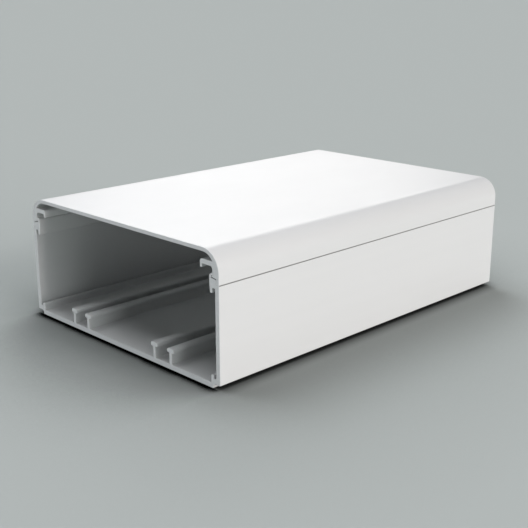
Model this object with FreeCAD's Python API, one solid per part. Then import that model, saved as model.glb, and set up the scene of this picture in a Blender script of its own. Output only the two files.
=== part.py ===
import FreeCAD, Part
import math
import os

# Two-piece cable raceway in rigid extruded plastic: a base channel and a cover that clips onto it.
# Both pieces are one section each, drawn in the XZ plane and run along Y.
# X is the width, Z the depth off the wall, and the origin is the middle of the back face.
# Millimetres throughout.

# Overall size; the depth is the seam height and the cover's own depth, added up below
length = 205.0
width = 140.0
seam_height = 46.3          # back face to the line where the cover meets the base

# Base channel: floor and side walls
floor_thickness = 2.4
wall_thickness = 2.5
rebate_width = 4.4          # the back edge is set in, so the wall stands clear of the mounting surface
rebate_height = 2.1
shelf_thickness = 2.4       # steps out from the floor to carry the side wall

# Base channel: upstand that makes a narrow slot at the foot of each wall
foot_slot_width = 1.6
upstand_thickness = 1.7
upstand_height = 1.6        # above the slot's floor

# Base channel: snap flange at the head of each wall
tongue_height = 2.2         # solid bridge above the seam, inside the cover's skin
bridge_depth = 1.6          # the same bridge below the seam
bridge_rise = 0.5           # the bridge's top slopes up to the flange
head_slot_width = 1.8
flange_thickness = 1.7
flange_taper = 0.35         # the flange thins below the seam, on its inner side
flange_drop = 2.3           # tip of the flange below the bridge
neck_thickness = 1.2        # flange above the bridge, thinned for the catch
bead_depth = 0.7
bead_height = 1.2
head_slope = 1.0            # the head's top falls towards the middle of the section

# Base channel: rails on the floor, in two pairs
rail_pair_offset = 31.475   # middle of the section to the middle of a pair
rail_spacing = 11.45        # stem to stem in a pair
stem_thickness = 1.5
rail_height = 7.4           # above the floor
cap_width = 4.5
cap_thickness = 1.9

# Cover
top_thickness = 1.8
outer_radius = 10.0
inner_radius = 7.5
skin_thickness = 1.7        # lower edge of the side, where it stands on the base
barb_height = 0.7
barb_lead = 0.4             # slope that lets the barb ride over the bead
catch_headroom = 2.6        # between the head of the snap flange and the hook arm
hook_headroom = 3.2         # between the hook arm and the inside of the cover's face
hook_reach = 11.6           # side of the cover to the tip of the hook arm
hook_thickness = 2.1
hook_lip_thickness = 1.2
hook_lip_drop = 1.6

# Fits
catch_clearance = 0.1       # between the sides of cover and base, and under the bead
leg_clearance = 0.3         # below the cover's leg, at the barb
pocket_gap = 0.45           # below the cover's leg, at its outer side

# Corner rounding
seam_round = 0.4
edge_round = 0.5
root_round = 0.4
cap_round = 0.9
small_round = 0.2
shoulder_round = 1.0
hook_round = 1.2
hook_root_round = 1.5
rebate_root_round = 1.5

half_width = width / 2


def vector(x, z):
    return FreeCAD.Vector(x, -length / 2, z)


# The arc that rounds one corner, as its start, middle and end.
# A sharp corner comes back as the corner three times.
def round_corner(before, corner, after, radius):
    if radius <= 0:
        return corner, corner, corner
    back = (before - corner).normalize()
    ahead = (after - corner).normalize()
    half_angle = back.getAngle(ahead) / 2
    reach = radius / math.tan(half_angle)
    bisector = (back + ahead).normalize()
    centre = corner + bisector * (radius / math.sin(half_angle))
    return corner + back * reach, centre - bisector * radius, corner + ahead * reach


# Runs a closed section along the length.
# Each corner is (x, z, radius of its rounding).
def extrude_section(corners):
    points = [vector(x, z) for x, z, radius in corners]
    arcs = []
    for i, (x, z, radius) in enumerate(corners):
        after = points[(i + 1) % len(points)]
        arcs.append(round_corner(points[i - 1], points[i], after, radius))
    edges = []
    for i, (start, middle, end) in enumerate(arcs):
        previous_end = arcs[i - 1][2]
        if previous_end.distanceToPoint(start) > Part.Precision.confusion():
            edges.append(Part.LineSegment(previous_end, start).toShape())
        if start.distanceToPoint(end) > Part.Precision.confusion():
            edges.append(Part.Arc(start, middle, end).toShape())
    face = Part.Face(Part.Wire(edges))
    return face.extrude(FreeCAD.Vector(0, length, 0))


# Completes a right half, listed from the middle round to the middle, with its mirror image.
def mirror_half(right_half):
    left_half = [(-x, z, radius) for x, z, radius in reversed(right_half)]
    return right_half + left_half


# One T-shaped rail, from the foot on its outer side over the cap to the foot on its inner side.
def rail_corners(middle_x):
    stem = stem_thickness / 2
    cap = cap_width / 2
    top_z = floor_thickness + rail_height
    under_cap_z = top_z - cap_thickness
    return [
        (middle_x + stem, floor_thickness, root_round),
        (middle_x + stem, under_cap_z, small_round),
        (middle_x + cap, under_cap_z, root_round),
        (middle_x + cap, top_z, cap_round),
        (middle_x - cap, top_z, cap_round),
        (middle_x - cap, under_cap_z, root_round),
        (middle_x - stem, under_cap_z, small_round),
        (middle_x - stem, floor_thickness, root_round),
    ]


# Places that the base and the cover share, on the right-hand side, going up from the seam.
flange_face_x = half_width - wall_thickness - head_slot_width - flange_thickness
neck_face_x = flange_face_x + neck_thickness
bead_face_x = neck_face_x + bead_depth
skin_face_x = half_width - skin_thickness
bridge_top_z = seam_height + tongue_height
bridge_crest_z = bridge_top_z + bridge_rise
barb_bottom_z = bridge_crest_z + leg_clearance
barb_top_z = barb_bottom_z + barb_height
bead_bottom_z = barb_top_z + catch_clearance
bead_top_z = bead_bottom_z + bead_height
hook_under_z = bead_top_z + catch_headroom
hook_top_z = hook_under_z + hook_thickness
inner_top_z = hook_top_z + hook_headroom
height = inner_top_z + top_thickness


def make_base_channel():
    wall_face_x = half_width - wall_thickness
    floor_edge_x = half_width - rebate_width
    shelf_top_z = rebate_height + shelf_thickness
    upstand_outer_x = wall_face_x - foot_slot_width
    upstand_inner_x = upstand_outer_x - upstand_thickness
    upstand_top_z = shelf_top_z + upstand_height
    tongue_face_x = skin_face_x - catch_clearance
    bridge_bottom_z = seam_height - bridge_depth
    flange_tip_z = bridge_bottom_z - flange_drop
    slot_face_x = wall_face_x - head_slot_width

    back_edge = [
        (floor_edge_x, 0, edge_round),
        (floor_edge_x, rebate_height, rebate_root_round),
        (half_width, rebate_height, edge_round),
    ]
    seam_step = [
        (half_width, seam_height, seam_round),
        (tongue_face_x, seam_height, 0),
        (tongue_face_x, bridge_top_z, small_round),
        (neck_face_x, bridge_crest_z, 0),
    ]
    catch = [
        (neck_face_x, bead_bottom_z, 0),
        (bead_face_x, bead_bottom_z, small_round),
        (bead_face_x, bead_top_z, small_round),
        (flange_face_x, bead_top_z - head_slope, shoulder_round),
        (flange_face_x, seam_height, 0),
    ]
    head_slot = [
        (flange_face_x + flange_taper, flange_tip_z, edge_round),
        (slot_face_x, flange_tip_z, edge_round),
        (slot_face_x, bridge_bottom_z, root_round),
        (wall_face_x, bridge_bottom_z, root_round),
    ]
    foot_slot = [
        (wall_face_x, shelf_top_z, root_round),
        (upstand_outer_x, shelf_top_z, root_round),
        (upstand_outer_x, upstand_top_z, edge_round),
        (upstand_inner_x, upstand_top_z, edge_round),
        (upstand_inner_x, floor_thickness, root_round),
    ]
    outer_rail = rail_corners(rail_pair_offset + rail_spacing / 2)
    inner_rail = rail_corners(rail_pair_offset - rail_spacing / 2)

    right_half = back_edge + seam_step + catch + head_slot + foot_slot + outer_rail + inner_rail
    return extrude_section(mirror_half(right_half))


def make_snap_cover():
    leg_face_x = bead_face_x + catch_clearance
    barb_tip_x = neck_face_x + catch_clearance
    hook_tip_x = half_width - hook_reach
    lip_face_x = hook_tip_x + hook_lip_thickness
    lip_bottom_z = hook_under_z - hook_lip_drop

    # The inside of the rounded edge is an arc that ends on top of the hook arm.
    arc_centre_x = half_width - outer_radius
    arc_centre_z = inner_top_z - inner_radius
    arc_turn = math.acos((hook_top_z - arc_centre_z) / inner_radius)
    arc_end_x = arc_centre_x + inner_radius * math.sin(arc_turn)
    arc_corner_x = arc_centre_x + inner_radius * math.tan(arc_turn / 2)

    outside = [
        (half_width, height, outer_radius),
        (half_width, seam_height, seam_round),
        (skin_face_x, seam_height, 0),
        (skin_face_x, bridge_top_z + pocket_gap, 0),
    ]
    barb = [
        (barb_tip_x + barb_lead, barb_bottom_z, 0),
        (barb_tip_x, barb_bottom_z + barb_lead, 0),
        (barb_tip_x, barb_top_z, 0),
        (leg_face_x, barb_top_z, 0),
    ]
    hook_arm = [
        (leg_face_x, hook_under_z, hook_root_round),
        (lip_face_x, hook_under_z, small_round),
        (lip_face_x, lip_bottom_z, root_round),
        (hook_tip_x, lip_bottom_z, root_round),
        (hook_tip_x, hook_top_z, hook_round),
        (arc_end_x, hook_top_z, 0),
    ]
    inner_edge = [(arc_corner_x, inner_top_z, inner_radius)]

    right_half = outside + barb + hook_arm + inner_edge
    return extrude_section(mirror_half(right_half))


os.makedirs("parts", exist_ok=True)
pieces = {
    "base_channel": make_base_channel(),
    "snap_cover": make_snap_cover(),
}
for name, shape in pieces.items():
    shape.exportStep("parts/" + name + ".step")
    print(name, "valid", shape.isValid(), "volume", round(shape.Volume, 1), "mm3")
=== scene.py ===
import bpy
import bmesh
import math
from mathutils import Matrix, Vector


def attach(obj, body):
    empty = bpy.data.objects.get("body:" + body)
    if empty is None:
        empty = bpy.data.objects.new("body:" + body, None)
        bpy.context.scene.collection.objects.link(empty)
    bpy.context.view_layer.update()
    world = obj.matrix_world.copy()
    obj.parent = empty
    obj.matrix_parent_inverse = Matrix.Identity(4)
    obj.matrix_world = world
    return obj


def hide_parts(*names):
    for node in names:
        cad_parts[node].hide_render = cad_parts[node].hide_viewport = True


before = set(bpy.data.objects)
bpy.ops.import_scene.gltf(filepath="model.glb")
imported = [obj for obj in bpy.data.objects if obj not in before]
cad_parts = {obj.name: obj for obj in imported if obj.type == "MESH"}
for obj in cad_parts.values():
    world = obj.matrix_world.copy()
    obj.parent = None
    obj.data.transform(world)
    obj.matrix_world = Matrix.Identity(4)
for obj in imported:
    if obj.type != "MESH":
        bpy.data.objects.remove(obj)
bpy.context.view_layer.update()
mm = 0.001
print("raceway: frame loaded, nodes", sorted(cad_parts))

# Places that both pieces share, in millimetres, on the right-hand side of the section
raceway = {
    "length": 205.0,
    "width": 140.0,
    "seamHeight": 46.3,
    "seamRound": 0.4,
    "bridgeTop": 48.5,          # solid top of the wall, inside the cover's skin
    "bridgeCrest": 49.0,
    "flangeFace": 64.0,
    "neckFace": 65.2,
    "beadFace": 65.9,
    "barbBottom": 49.3,
    "barbTop": 50.0,
    "skinFace": 68.3,
    "catchClearance": 0.1,
    # seamDarkening: how fast the painted shade in the seam's groove turns dark, going in
    "seamDarkening": 6.0,       # how fast the seam's groove turns dark, going in
    "seamMargin": 1.05,         # the groove's half width, next to its rounding
    "roundingSteps": 3.0,       # points in the smallest rounding; larger ones get more
    "creaseAngle": 28.0,        # degrees; a sharper edge isn't shaded smooth
    "weldDistance": 0.002,
}
plasticIor = 1.54

baseChannel = {
    "floorThickness": 2.4,
    "wallThickness": 2.5,
    "rebateWidth": 4.4,         # the back edge is set in
    "rebateHeight": 2.1,
    "rebateRound": 1.5,
    "shelfTop": 4.5,
    "footSlotWidth": 1.6,
    "upstandThickness": 1.7,
    "upstandTop": 6.1,
    "bridgeBottom": 44.7,
    "flangeTip": 42.4,
    "flangeTaper": 0.35,
    "headSlotWidth": 1.8,
    "beadHeight": 1.2,
    "headSlope": 1.0,
    "headRound": 1.0,
    "railMiddles": (37.2, 25.75),
    "stemThickness": 1.5,
    "railTop": 9.8,
    "capWidth": 4.5,
    "capThickness": 1.9,
    "capRound": 0.9,
    "edgeRound": 0.5,
    "rootRound": 0.4,
    "smallRound": 0.2,
    "edgeBreak": 0.16,          # the saw's edge, rubbed down
    "arcStep": 0.16,            # finest run of a rounding
}

snapCover = {
    "height": 61.0,
    "topThickness": 1.8,
    "outerRadius": 10.0,
    "innerRadius": 7.5,
    "barbLead": 0.4,
    "pocketTop": 48.95,         # foot of the leg, at its outer side
    "hookUnder": 53.9,
    "hookTop": 56.0,
    "hookTip": 58.4,
    "hookRound": 1.2,
    "hookRootRound": 1.5,
    "lipFace": 59.6,
    "lipBottom": 52.3,
    "rootRound": 0.4,
    "smallRound": 0.2,
    "edgeBreak": 0.16,
    "arcStep": 0.16,
}


# A section's corners are (x, z, rounding), one half listed from the middle round to the middle.
def mirrorHalf(rightHalf):
    return rightHalf + [(-x, z, radius) for x, z, radius in reversed(rightHalf)]


def railCorners(middle):
    p = baseChannel
    stem, cap = p["stemThickness"] / 2, p["capWidth"] / 2
    top, underCap, foot = p["railTop"], p["railTop"] - p["capThickness"], p["floorThickness"]
    root, small, capRound = p["rootRound"], p["smallRound"], p["capRound"]
    return [
        (middle + stem, foot, root), (middle + stem, underCap, small),
        (middle + cap, underCap, root), (middle + cap, top, capRound),
        (middle - cap, top, capRound), (middle - cap, underCap, root),
        (middle - stem, underCap, small), (middle - stem, foot, root),
    ]


def baseSection():
    r, p = raceway, baseChannel
    edge, root, small = p["edgeRound"], p["rootRound"], p["smallRound"]
    half = r["width"] / 2
    wall = half - p["wallThickness"]
    floorEdge = half - p["rebateWidth"]
    tongue = r["skinFace"] - r["catchClearance"]
    beadBottom = r["barbTop"] + r["catchClearance"]
    beadTop = beadBottom + p["beadHeight"]
    slotFace = wall - p["headSlotWidth"]
    upOuter = wall - p["footSlotWidth"]
    upInner = upOuter - p["upstandThickness"]
    right = [
        (floorEdge, 0, edge), (floorEdge, p["rebateHeight"], p["rebateRound"]),
        (half, p["rebateHeight"], edge), (half, r["seamHeight"], r["seamRound"]),
        (tongue, r["seamHeight"], 0), (tongue, r["bridgeTop"], small),
        (r["neckFace"], r["bridgeCrest"], 0), (r["neckFace"], beadBottom, 0),
        (r["beadFace"], beadBottom, small), (r["beadFace"], beadTop, small),
        (r["flangeFace"], beadTop - p["headSlope"], p["headRound"]), (r["flangeFace"], r["seamHeight"], 0),
        (r["flangeFace"] + p["flangeTaper"], p["flangeTip"], edge), (slotFace, p["flangeTip"], edge),
        (slotFace, p["bridgeBottom"], root), (wall, p["bridgeBottom"], root),
        (wall, p["shelfTop"], root), (upOuter, p["shelfTop"], root), (upOuter, p["upstandTop"], edge),
        (upInner, p["upstandTop"], edge), (upInner, p["floorThickness"], root),
    ]
    for middle in p["railMiddles"]:
        right += railCorners(middle)
    return mirrorHalf(right)


def coverSection():
    r, p = raceway, snapCover
    root, small = p["rootRound"], p["smallRound"]
    half = r["width"] / 2
    leg = r["beadFace"] + r["catchClearance"]
    barbTip = r["neckFace"] + r["catchClearance"]
    innerTop = p["height"] - p["topThickness"]
    # the inside of the rounded edge is an arc that ends on top of the hook arm
    centreX, centreZ = half - p["outerRadius"], innerTop - p["innerRadius"]
    turn = math.acos((p["hookTop"] - centreZ) / p["innerRadius"])
    arcEnd = centreX + p["innerRadius"] * math.sin(turn)
    arcCorner = centreX + p["innerRadius"] * math.tan(turn / 2)
    right = [
        (half, p["height"], p["outerRadius"]), (half, r["seamHeight"], r["seamRound"]),
        (r["skinFace"], r["seamHeight"], 0), (r["skinFace"], p["pocketTop"], 0),
        (barbTip + p["barbLead"], r["barbBottom"], 0), (barbTip, r["barbBottom"] + p["barbLead"], 0),
        (barbTip, r["barbTop"], 0), (leg, r["barbTop"], 0),
        (leg, p["hookUnder"], p["hookRootRound"]), (p["lipFace"], p["hookUnder"], small),
        (p["lipFace"], p["lipBottom"], root), (p["hookTip"], p["lipBottom"], root),
        (p["hookTip"], p["hookTop"], p["hookRound"]), (arcEnd, p["hookTop"], 0),
        (arcCorner, innerTop, p["innerRadius"]),
    ]
    return mirrorHalf(right)


def addNode(tree, kind, inputs=None, **settings):
    node = tree.nodes.new(kind)
    for key, value in settings.items():
        setattr(node, key, value)
    for key, value in (inputs or {}).items():
        if isinstance(value, bpy.types.NodeSocket):
            tree.links.new(value, node.inputs[key])
        else:
            node.inputs[key].default_value = value
    return node


def calculate(tree, operation, a, b=0.0, c=0.0):
    return addNode(tree, "ShaderNodeMath", {0: a, 1: b, 2: c}, operation=operation).outputs[0]


def mixColours(tree, share, first, second):
    node = addNode(tree, "ShaderNodeMix", data_type="RGBA")
    for socket, value in ((0, share), (6, first), (7, second)):      # factor, A and B of a colour mix
        if isinstance(value, bpy.types.NodeSocket):
            tree.links.new(value, node.inputs[socket])
        else:
            node.inputs[socket].default_value = (*value, 1)
    return node.outputs[2]


def newMaterial(name):
    material = bpy.data.materials.new(name)
    material.use_nodes = True
    material.node_tree.nodes.clear()
    return material, material.node_tree


# Two patterns in one, the first with the given share.
def blended(tree, share, first, second):
    return calculate(tree, "MULTIPLY_ADD", first, share, calculate(tree, "MULTIPLY", second, 1 - share))


def stretchedNoise(tree, place, stretch, perMetre, detail):
    mapping = addNode(tree, "ShaderNodeMapping", {"Vector": place, "Scale": stretch})
    noise = addNode(tree, "ShaderNodeTexNoise", {
        "Vector": mapping.outputs[0], "Scale": perMetre, "Detail": detail})
    return noise.outputs["Fac"]


def ranged(tree, value, low, high, toLow, toHigh):
    return addNode(tree, "ShaderNodeMapRange", {"Value": value, "From Min": low, "From Max": high,
                                                "To Min": toLow, "To Max": toHigh}).outputs[0]


extrudedFinish = {
    "white": (0.75, 0.754, 0.754),
    "shade": (0.739, 0.744, 0.744),
    "roughness": (0.29, 0.34),
    "streaksPerMetre": 170.0,   # drawn marks, side by side
    "streakLength": 0.02,       # how fast they change along the run, next to across it
    "streakHeight": 0.000003,
    "ripplesPerMetre": 26.0,    # the face isn't quite flat
    "rippleLength": 0.4,
    "rippleHeight": 0.00002,
    "scuffsPerMetre": 90.0,
    "scuffLength": 0.6,
    "streakShare": 0.5,         # of the tone; ripples make the rest
    "toneRange": (0.38, 0.62),
    "scuffShare": 0.7,          # of the gloss; streaks make the rest
    "glossRange": (0.3, 0.7),
    # painted shade for the seam's groove, where the narrow gap falls dark
    "seamPaintedShade": (0.27, 0.273, 0.27),
}


def extrudedPlastic():
    f = extrudedFinish
    material, tree = newMaterial("extrudedPlastic")
    place = addNode(tree, "ShaderNodeTexCoord").outputs["Object"]
    streaks = stretchedNoise(tree, place, (1, f["streakLength"], 1), f["streaksPerMetre"], detail=2.0)
    ripples = stretchedNoise(tree, place, (1, f["rippleLength"], 1), f["ripplesPerMetre"], detail=1.0)
    scuffs = stretchedNoise(tree, place, (1, f["scuffLength"], 1), f["scuffsPerMetre"], detail=2.0)
    tone = blended(tree, f["streakShare"], streaks, ripples)
    unshadedTone = mixColours(tree, ranged(tree, tone, *f["toneRange"], 0.0, 1.0), f["shade"], f["white"])
    # painted shade in the seam's groove, darker deeper in, mixed into the plastic's colour
    seam = addNode(tree, "ShaderNodeAttribute", attribute_name="seamShade").outputs["Fac"]
    colour = mixColours(tree, seam, unshadedTone, f["seamPaintedShade"])
    gloss = blended(tree, f["scuffShare"], scuffs, streaks)
    rippled = addNode(tree, "ShaderNodeBump", {
        "Height": ripples, "Strength": 1.0, "Distance": f["rippleHeight"]})
    drawn = addNode(tree, "ShaderNodeBump", {
        "Height": streaks, "Strength": 1.0, "Distance": f["streakHeight"], "Normal": rippled.outputs[0]})
    shader = addNode(tree, "ShaderNodeBsdfPrincipled", {
        "Base Color": colour, "IOR": plasticIor, "Normal": drawn.outputs[0],
        "Roughness": ranged(tree, gloss, *f["glossRange"], *f["roughness"])})
    addNode(tree, "ShaderNodeOutputMaterial", {"Surface": shader.outputs[0]})
    return material


sawnFinish = {
    "pale": (0.769, 0.775, 0.778),
    "dull": (0.719, 0.728, 0.733),
    "roughness": (0.48, 0.62),
    "toothMarksPerMetre": 1300.0,
    "toothMarkLength": 0.12,    # they run across the width
    "grainPerMetre": 2400.0,
    "toothMarkShare": 0.6,      # of the tone; grain makes the rest
    "toneRange": (0.35, 0.65),
    "glossRange": (0.3, 0.7),
    "markHeight": 0.00003,
    "markStrength": 0.4,
}


def sawnPlastic():
    f = sawnFinish
    material, tree = newMaterial("sawnPlastic")
    place = addNode(tree, "ShaderNodeTexCoord").outputs["Object"]
    toothMarks = stretchedNoise(
        tree, place, (f["toothMarkLength"], 1, 1), f["toothMarksPerMetre"], detail=3.0)
    grain = stretchedNoise(tree, place, (1, 1, 1), f["grainPerMetre"], detail=2.0)
    tone = blended(tree, f["toothMarkShare"], toothMarks, grain)
    colour = mixColours(tree, ranged(tree, tone, *f["toneRange"], 0.0, 1.0), f["dull"], f["pale"])
    bump = addNode(tree, "ShaderNodeBump", {
        "Height": tone, "Strength": f["markStrength"], "Distance": f["markHeight"]})
    shader = addNode(tree, "ShaderNodeBsdfPrincipled", {
        "Base Color": colour, "IOR": plasticIor, "Normal": bump.outputs[0],
        "Roughness": ranged(tree, grain, *f["glossRange"], *f["roughness"])})
    addNode(tree, "ShaderNodeOutputMaterial", {"Surface": shader.outputs[0]})
    return material


# One section run along the length, with its sawn rims rubbed down.
def runTree():
    tree = bpy.data.node_groups.new("sectionRun", "GeometryNodeTree")
    face = tree.interface
    face.new_socket("Geometry", in_out="INPUT", socket_type="NodeSocketGeometry")
    for name in ("Length", "Half Width", "Edge Break", "Arc Step", "Seam Height", "Seam Depth"):
        face.new_socket(name, in_out="INPUT", socket_type="NodeSocketFloat")
    for name in ("Extruded", "Sawn"):
        face.new_socket(name, in_out="INPUT", socket_type="NodeSocketMaterial")
    face.new_socket("Geometry", in_out="OUTPUT", socket_type="NodeSocketGeometry")
    given = addNode(tree, "NodeGroupInput").outputs

    # the section: an outline with one rounding radius a corner
    outline = addNode(tree, "GeometryNodeMeshToCurve", {"Mesh": given["Geometry"]})
    radius = addNode(
        tree, "GeometryNodeInputNamedAttribute", {"Name": "cornerRadius"}, data_type="FLOAT").outputs[0]
    steps = calculate(
        tree, "CEIL", calculate(tree, "SQRT", calculate(tree, "DIVIDE", radius, given["Arc Step"])))
    section = addNode(tree, "GeometryNodeFilletCurve", {
        "Curve": outline.outputs[0], "Count": calculate(tree, "MULTIPLY", steps, raceway["roundingSteps"]),
        "Radius": radius, "Limit Radius": False}, mode="POLY")

    # the run: a station at each end and one a rubbed edge further in
    half = calculate(tree, "DIVIDE", given["Length"], 2.0)
    stationCount = 4
    line = addNode(tree, "GeometryNodeCurvePrimitiveLine", {"End": (0, 1, 0)})
    stations = addNode(tree, "GeometryNodeResampleCurve", {"Curve": line.outputs[0], "Count": stationCount})
    station = addNode(tree, "GeometryNodeInputIndex").outputs[0]
    side = calculate(tree, "SUBTRACT", station, (stationCount - 1) / 2)
    inner = calculate(tree, "LESS_THAN", calculate(tree, "ABSOLUTE", side), 1.0)
    reach = calculate(tree, "SUBTRACT", half, calculate(tree, "MULTIPLY", inner, given["Edge Break"]))
    along = calculate(tree, "MULTIPLY", calculate(tree, "SIGN", side), reach)
    spot = addNode(tree, "ShaderNodeCombineXYZ", {"Y": along})
    run = addNode(tree, "GeometryNodeSetPosition", {
        "Geometry": stations.outputs[0], "Position": spot.outputs[0]})
    swept = addNode(tree, "GeometryNodeCurveToMesh", {
        "Curve": run.outputs[0], "Profile Curve": section.outputs[0], "Fill Caps": True})
    welded = addNode(tree, "GeometryNodeMergeByDistance", {
        "Geometry": swept.outputs[0], "Distance": raceway["weldDistance"] * mm})

    # the rims: end points move into the plastic, square to the run
    position = addNode(tree, "GeometryNodeInputPosition").outputs[0]
    place = addNode(tree, "ShaderNodeSeparateXYZ", {0: position}).outputs
    beyondBreak = calculate(tree, "SUBTRACT", half, calculate(tree, "MULTIPLY", given["Edge Break"], 0.5))
    atEnd = calculate(tree, "GREATER_THAN", calculate(tree, "ABSOLUTE", place["Y"]), beyondBreak)
    normal = addNode(tree, "GeometryNodeInputNormal").outputs[0]
    flat = addNode(tree, "ShaderNodeVectorMath", {0: normal, 1: (1, 0, 1)}, operation="MULTIPLY").outputs[0]
    outward = addNode(tree, "ShaderNodeVectorMath", {0: flat}, operation="NORMALIZE").outputs[0]
    inwards = addNode(tree, "ShaderNodeVectorMath", {
        0: outward, "Scale": calculate(tree, "MULTIPLY", given["Edge Break"], -1.0),
    }, operation="SCALE").outputs[0]
    rubbed = addNode(tree, "GeometryNodeSetPosition", {
        "Geometry": welded.outputs[0], "Selection": atEnd, "Offset": inwards})

    # the seam's groove: how deep a point lies in it, kept for the painted shade in the plastic's colour;
    # the flange, which is further in at the same height, gets no painted shade
    seamDepth = given["Seam Depth"]
    inFromSide = calculate(tree, "SUBTRACT", given["Half Width"], calculate(tree, "ABSOLUTE", place["X"]))
    offSeam = calculate(tree, "ABSOLUTE", calculate(tree, "SUBTRACT", place["Z"], given["Seam Height"]))
    nearSeam = calculate(
        tree, "LESS_THAN", offSeam, calculate(tree, "MULTIPLY", seamDepth, raceway["seamMargin"]))
    inWall = calculate(tree, "LESS_THAN", inFromSide, baseChannel["wallThickness"] * mm)
    depth = calculate(
        tree, "MULTIPLY", calculate(tree, "DIVIDE", inFromSide, seamDepth), raceway["seamDarkening"])
    inGroove = calculate(tree, "MULTIPLY", nearSeam, inWall)
    shade = calculate(tree, "MULTIPLY", calculate(tree, "MINIMUM", depth, 1.0), inGroove)
    shaded = addNode(tree, "GeometryNodeStoreNamedAttribute", {
        "Geometry": rubbed.outputs[0], "Name": "seamShade", "Value": shade,
    }, data_type="FLOAT", domain="POINT")

    smooth = addNode(tree, "GeometryNodeSetShadeSmooth", {"Geometry": shaded.outputs[0]}, domain="FACE")
    angle = addNode(tree, "GeometryNodeInputMeshEdgeAngle").outputs[0]
    creased = addNode(tree, "GeometryNodeSetShadeSmooth", {
        "Geometry": smooth.outputs[0], "Shade Smooth": False,
        "Selection": calculate(tree, "GREATER_THAN", angle, math.radians(raceway["creaseAngle"])),
    }, domain="EDGE")
    real = addNode(tree, "GeometryNodeRealizeInstances", {"Geometry": creased.outputs[0]})
    white = addNode(tree, "GeometryNodeSetMaterial", {
        "Geometry": real.outputs[0], "Material": given["Extruded"]})
    # faces that look along the run more than sideways are sawn
    faceY = addNode(tree, "ShaderNodeSeparateXYZ", {0: normal}).outputs["Y"]
    cut = calculate(tree, "GREATER_THAN", calculate(tree, "ABSOLUTE", faceY), 0.5)
    sawn = addNode(tree, "GeometryNodeSetMaterial", {
        "Geometry": white.outputs[0], "Selection": cut, "Material": given["Sawn"]})
    addNode(tree, "NodeGroupOutput", {0: sawn.outputs[0]})
    return tree


def outlineMesh(name, corners):
    turns = sum(a[0] * b[1] - b[0] * a[1] for a, b in zip(corners, corners[1:] + corners[:1]))
    if turns > 0:
        corners = corners[::-1]     # clockwise, so that the sweep's faces point outwards
    mesh = bpy.data.meshes.new(name)
    points = [(x * mm, -z * mm, 0) for x, z, radius in corners]     # the sweep stands the section up
    mesh.from_pydata(points, [(i, (i + 1) % len(points)) for i in range(len(points))], [])
    radii = [radius * mm for x, z, radius in corners]
    mesh.attributes.new("cornerRadius", "FLOAT", "POINT").data.foreach_set("value", radii)
    return mesh


def setInput(modifier, name, value):
    for item in modifier.node_group.interface.items_tree:
        if item.item_type == "SOCKET" and item.in_out == "INPUT" and item.name == name:
            modifier[item.identifier] = value


def runSection(name, corners, sizes, tree, extruded, sawn):
    piece = bpy.data.objects.new(name, outlineMesh(name + "Outline", corners))
    bpy.context.scene.collection.objects.link(piece)
    modifier = piece.modifiers.new("sectionRun", "NODES")
    modifier.node_group = tree
    setInput(modifier, "Length", raceway["length"] * mm)
    setInput(modifier, "Half Width", raceway["width"] / 2 * mm)
    setInput(modifier, "Seam Height", raceway["seamHeight"] * mm)
    setInput(modifier, "Seam Depth", raceway["seamRound"] * mm)
    setInput(modifier, "Edge Break", sizes["edgeBreak"] * mm)
    setInput(modifier, "Arc Step", sizes["arcStep"] * mm)
    setInput(modifier, "Extruded", extruded)
    setInput(modifier, "Sawn", sawn)
    evenShading = piece.modifiers.new("evenShading", "WEIGHTED_NORMAL")
    evenShading.keep_sharp = True
    evaluated = piece.evaluated_get(bpy.context.evaluated_depsgraph_get())
    plain = bpy.data.meshes.new_from_object(evaluated)
    piece.modifiers.clear()
    piece.data = plain
    plain.name = name
    shape = bmesh.new()
    shape.from_mesh(plain)
    openEdges = sum(1 for edge in shape.edges if not edge.is_manifold)
    volume = round(shape.calc_volume(signed=True) / mm ** 3, 1)
    print("raceway:", name, "faces", len(plain.polygons), "volume", volume, "mm3, open edges", openEdges)
    shape.free()
    return piece


sectionRun = runTree()
extruded = extrudedPlastic()
sawn = sawnPlastic()
base = runSection("baseChannelPiece", baseSection(), baseChannel, sectionRun, extruded, sawn)
cover = runSection("snapCoverPiece", coverSection(), snapCover, sectionRun, extruded, sawn)
for piece, slot, node in ((base, "base_plastic", "base_channel"), (cover, "cover_plastic", "snap_cover")):
    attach(piece, "root")
    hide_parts(node)

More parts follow.
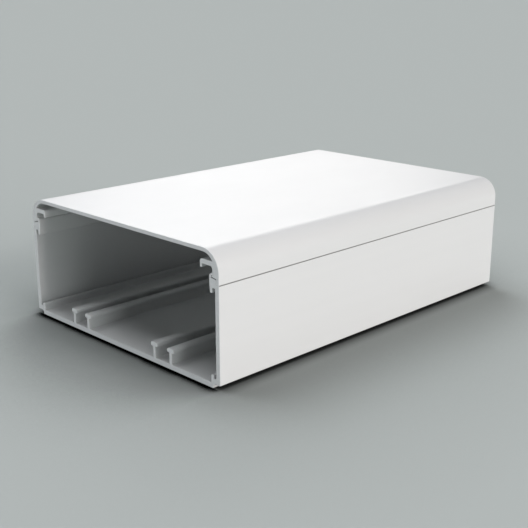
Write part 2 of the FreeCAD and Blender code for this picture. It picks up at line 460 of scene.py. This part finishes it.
studio = {
    "floorRadius": 12.0,
    "floorSides": 96,
    "floorColour": (0.50, 0.53, 0.515),
    "fibresPerMetre": 700.0,
    "fibreHeight": 0.000005,
    # painted shadows on the floor near the part: reach, how open the floor is where it is darkest and where
    # it is no longer shaded, what is left of its colour at the darkest, and rays for each sample
    "wallShade": (0.008, 0.2, 1.0, 0.07, 12),
    "bodyShade": (0.13, 0.71, 1.0, 0.70, 12),
    # footShade paints a black shadow line along the foot of the cut end; mouthShade paints the soft shadow in
    # front of the open end
    "footShade": (0.008, 0.65, 0.77, 0.003, 24),    # the black line along the foot of the cut end
    "mouthShade": (0.16, 0.6, 0.82, 0.68, 16),      # the soft dark in front of the open end
    "lamps": [                  # name, azimuth, elevation and apparent size in degrees, brightness, colour
        ("frontStrip", 0, 2.5, 5, 0.237, (0.97, 1.0, 1.03)),
        ("cornerStrip", 79, 5, 10, 0.044, (0.95, 1.05, 1.0)),
        ("sideStrip", 90, 2.5, 5, 0.203, (1.07, 0.99, 0.95)),
        ("sideBox", 90, 22, 30, 0.158, (0.98, 0.99, 1.03)),
        ("highSideBox", 90, 60, 40, 0.197, (0.99, 1.0, 1.01)),
        ("rightBox", 105, 22, 30, 0.333, (1.04, 0.99, 0.97)),
        ("backBox", 225, 22, 30, 0.15, (1.02, 1.0, 0.98)),
        ("leftBox", 247.5, 35, 40, 0.165, (0.95, 0.99, 1.05)),
        ("highLeftBox", 270, 60, 40, 0.44, (0.97, 1.0, 1.03)),
    ],
    "backdrop": (0.46, 0.485, 0.475),
    "azimuth": 45.26422,        # degrees round from straight in front, and above the horizon
    "elevation": 16.74544,
    "distance": 0.504447612,
    "aim": (-0.0014642, -0.0059475, 0.0201209),
    "lens": 64.46,
    "sensorWidth": 36.0,
    "clip": (0.01, 50.0),
}


# How much of the floor's colour is left under a painted shadow, by how closed in it is upwards, or the way
# facing points.
def closeShade(tree, name, facing=None):
    reach, closedIn, clear, left, rays = studio[name]
    near = addNode(tree, "ShaderNodeAmbientOcclusion", {"Distance": reach}, samples=rays)
    if facing:
        tree.links.new(facing, near.inputs["Normal"])
    return ranged(tree, near.outputs["AO"], closedIn, clear, left, 1.0)


def floorSheet():
    mesh = bpy.data.meshes.new("floorSheet")
    shape = bmesh.new()
    bmesh.ops.create_circle(shape, cap_ends=True, segments=studio["floorSides"], radius=studio["floorRadius"])
    shape.to_mesh(mesh)
    shape.free()
    floor = bpy.data.objects.new("floorSheet", mesh)
    bpy.context.scene.collection.objects.link(floor)
    material, tree = newMaterial("paperFloor")
    place = addNode(tree, "ShaderNodeTexCoord").outputs["Object"]
    fibres = stretchedNoise(tree, place, (1, 1, 1), studio["fibresPerMetre"], detail=3.0)
    bump = addNode(tree, "ShaderNodeBump", {
        "Height": fibres, "Strength": 1.0, "Distance": studio["fibreHeight"]})
    towardsEnd = addNode(tree, "ShaderNodeCombineXYZ", {"Y": 1.0}).outputs[0]
    wallShade = closeShade(tree, "wallShade")
    bodyShade = closeShade(tree, "bodyShade")
    footShade = closeShade(tree, "footShade", towardsEnd)
    mouthShade = closeShade(tree, "mouthShade", towardsEnd)
    # the painted black shadow line lies only in front of the cut end
    along = addNode(tree, "ShaderNodeSeparateXYZ", {0: place}).outputs["Y"]
    beside = calculate(tree, "GREATER_THAN", along, -raceway["length"] / 2 * mm)
    lineShade = calculate(tree, "MAXIMUM", footShade, beside)
    sideShade = calculate(tree, "MULTIPLY", wallShade, bodyShade)
    frontShade = calculate(tree, "MULTIPLY", lineShade, mouthShade)
    lightShare = calculate(tree, "MULTIPLY", sideShade, frontShade)
    plain = addNode(tree, "ShaderNodeBsdfDiffuse", {
        "Color": (*studio["floorColour"], 1), "Normal": bump.outputs[0]})
    shaded = addNode(tree, "ShaderNodeBsdfDiffuse", {
        "Color": mixColours(tree, lightShare, (0, 0, 0), studio["floorColour"]), "Normal": bump.outputs[0]})
    # the painted shadows are seen, and take no light from the part
    ray = addNode(tree, "ShaderNodeLightPath")
    pick = addNode(tree, "ShaderNodeMixShader", {
        0: ray.outputs["Is Camera Ray"], 1: plain.outputs[0], 2: shaded.outputs[0]})
    addNode(tree, "ShaderNodeOutputMaterial", {"Surface": pick.outputs[0]})
    mesh.materials.append(material)


def direction(azimuth, elevation):
    a, e = math.radians(azimuth), math.radians(elevation)
    return Vector((math.sin(a) * math.cos(e), -math.cos(a) * math.cos(e), math.sin(e)))


def softSun(name, azimuth, elevation, angle, strength, colour):
    lamp = bpy.data.lights.new(name, "SUN")
    lamp.angle = math.radians(angle)
    lamp.energy = strength * math.pi
    lamp.color = colour
    sun = bpy.data.objects.new(name, lamp)
    sun.rotation_mode = "QUATERNION"
    sun.rotation_quaternion = direction(azimuth, elevation).to_track_quat("Z", "Y")
    bpy.context.scene.collection.objects.link(sun)


# The backdrop is seen, and lights nothing.
def plainBackdrop():
    world = bpy.data.worlds.new("plainBackdrop")
    world.use_nodes = True
    tree = world.node_tree
    tree.nodes.clear()
    unlit = addNode(tree, "ShaderNodeBackground", {"Color": (1, 1, 1, 1), "Strength": 0.0})
    seen = addNode(tree, "ShaderNodeBackground", {"Color": (*studio["backdrop"], 1), "Strength": 1.0})
    ray = addNode(tree, "ShaderNodeLightPath")
    pick = addNode(tree, "ShaderNodeMixShader", {
        0: ray.outputs["Is Camera Ray"], 1: unlit.outputs[0], 2: seen.outputs[0]})
    addNode(tree, "ShaderNodeOutputWorld", {"Surface": pick.outputs[0]})
    bpy.context.scene.world = world


def photoCamera():
    data = bpy.data.cameras.new("photoCamera")
    data.sensor_width = studio["sensorWidth"]
    data.lens = studio["lens"]
    data.clip_start, data.clip_end = studio["clip"]
    camera = bpy.data.objects.new("photoCamera", data)
    back = direction(studio["azimuth"], studio["elevation"])
    camera.rotation_mode = "QUATERNION"
    camera.rotation_quaternion = back.to_track_quat("Z", "Y")
    camera.location = Vector(studio["aim"]) + back * studio["distance"]
    bpy.context.scene.collection.objects.link(camera)
    bpy.context.scene.camera = camera


floorSheet()
plainBackdrop()
for lamp in studio["lamps"]:
    softSun(*lamp)
photoCamera()
bpy.context.scene.view_settings.view_transform = "Standard"
print("raceway: floor, lamps and camera in place")
